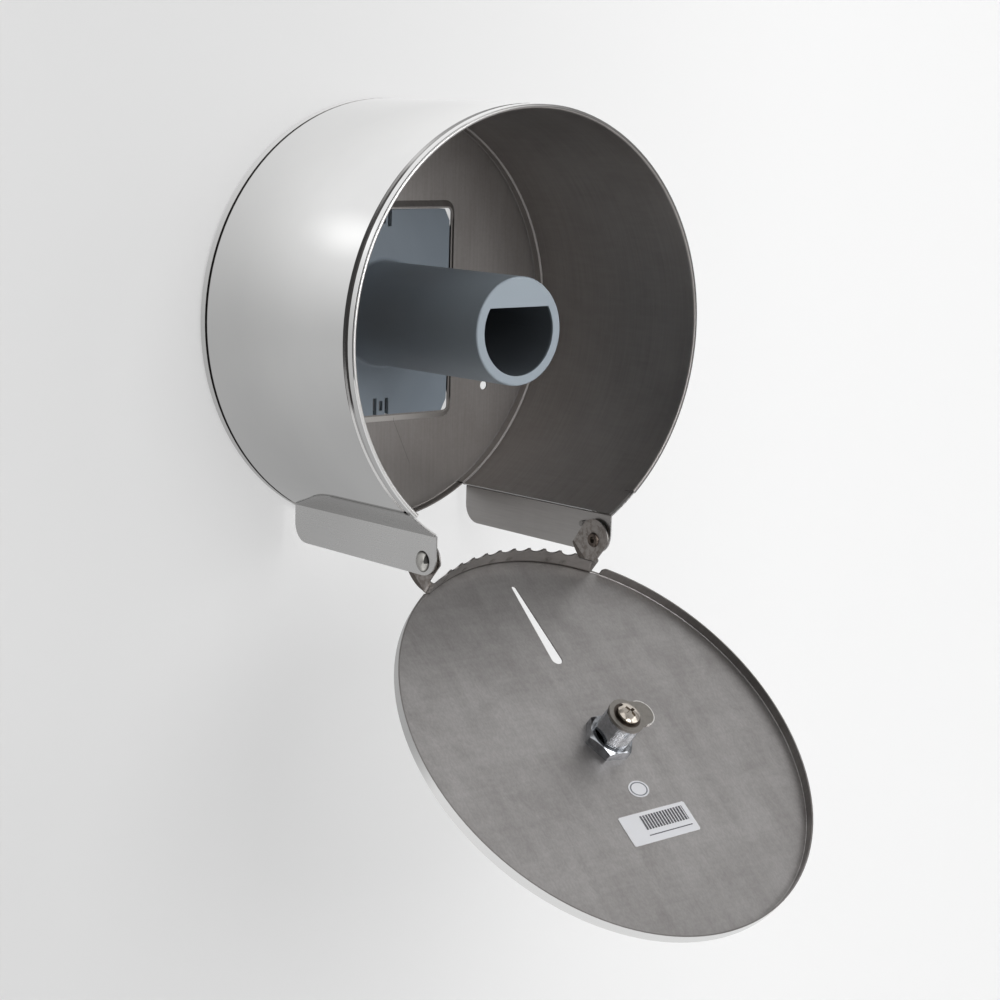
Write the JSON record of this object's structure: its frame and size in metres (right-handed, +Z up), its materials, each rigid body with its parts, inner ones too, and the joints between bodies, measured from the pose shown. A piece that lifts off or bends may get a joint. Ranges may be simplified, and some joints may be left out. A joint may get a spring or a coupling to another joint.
{
  "type": "jumbo toilet roll dispenser",
  "caption": "Wall-mounted round steel dispenser for a mini-jumbo toilet roll, with a plastic core holder and a lockable front cover on a bottom hinge, hanging open.",
  "frame": {"origin": "on the drum's axis at the wall plane, which is the centre of the three wall-fixing holes", "axes": "+Y into the wall along the drum's axis, -Y towards the user, +Z up, +X to the user's right"},
  "size_m": [0.2318, 0.2823, 0.3878],
  "materials": {
    "polished_steel": "mirror-polished stainless steel outside, dull inside",
    "inner_steel": "dull mill-finish stainless steel",
    "cover_steel": "polished outside, dull and faintly mottled inside",
    "strip_steel": "satin stainless steel with weld marks",
    "bracket_steel": "satin stainless steel",
    "grey_plastic": "moulded blue-grey plastic, satin",
    "rivet_metal": "bright rivets",
    "stud_metal": "dull steel studs",
    "washer_plastic": "natural nylon",
    "lock_chrome": "bright zinc and chrome plating",
    "gasket_rubber": "black rubber",
    "plug_metal": "nickel-plated",
    "wafer_brass": "stamped brass",
    "spring_steel": "bright spring wire",
    "cam_nickel": "warm nickel plating",
    "screw_nickel": "warm nickel plating",
    "label_paper": "white adhesive paper, blank"
  },
  "bodies": {
    "housing": {"back_plate": "inner_steel", "drum_shell": "polished_steel", "bracket_left": "bracket_steel", "bracket_right": "bracket_steel", "core_holder": "grey_plastic", "hinge_rivets": "rivet_metal", "hinge_washers": "washer_plastic", "stop_studs": "stud_metal"},
    "cover": {"cover_pan": "cover_steel", "tear_strip": "strip_steel", "lock_housing": "lock_chrome", "lock_gasket": "gasket_rubber", "lock_nut": "lock_chrome", "blank_label": "label_paper", "blank_sticker": "label_paper"},
    "lock": {"lock_plug": "plug_metal", "lock_wafers": "wafer_brass", "wafer_springs": "spring_steel", "stop_washer": "lock_chrome", "lock_cam": "cam_nickel", "cam_washer": "cam_nickel", "cam_screw": "screw_nickel"}
  },
  "joints": [
    {"name": "cover_hinge", "type": "hinge", "parent": "housing", "child": "cover", "pos_m": [0, -0.1174, -0.11215], "axis": [-1, 0, 0], "range_deg": [0, 131.7]},
    {"name": "lock_turn", "type": "hinge", "parent": "cover", "child": "lock", "pos_m": [0, -0.19236, -0.19661], "axis": [0, 0.6652, -0.7466], "range_deg": [0, 90]}
  ]
}
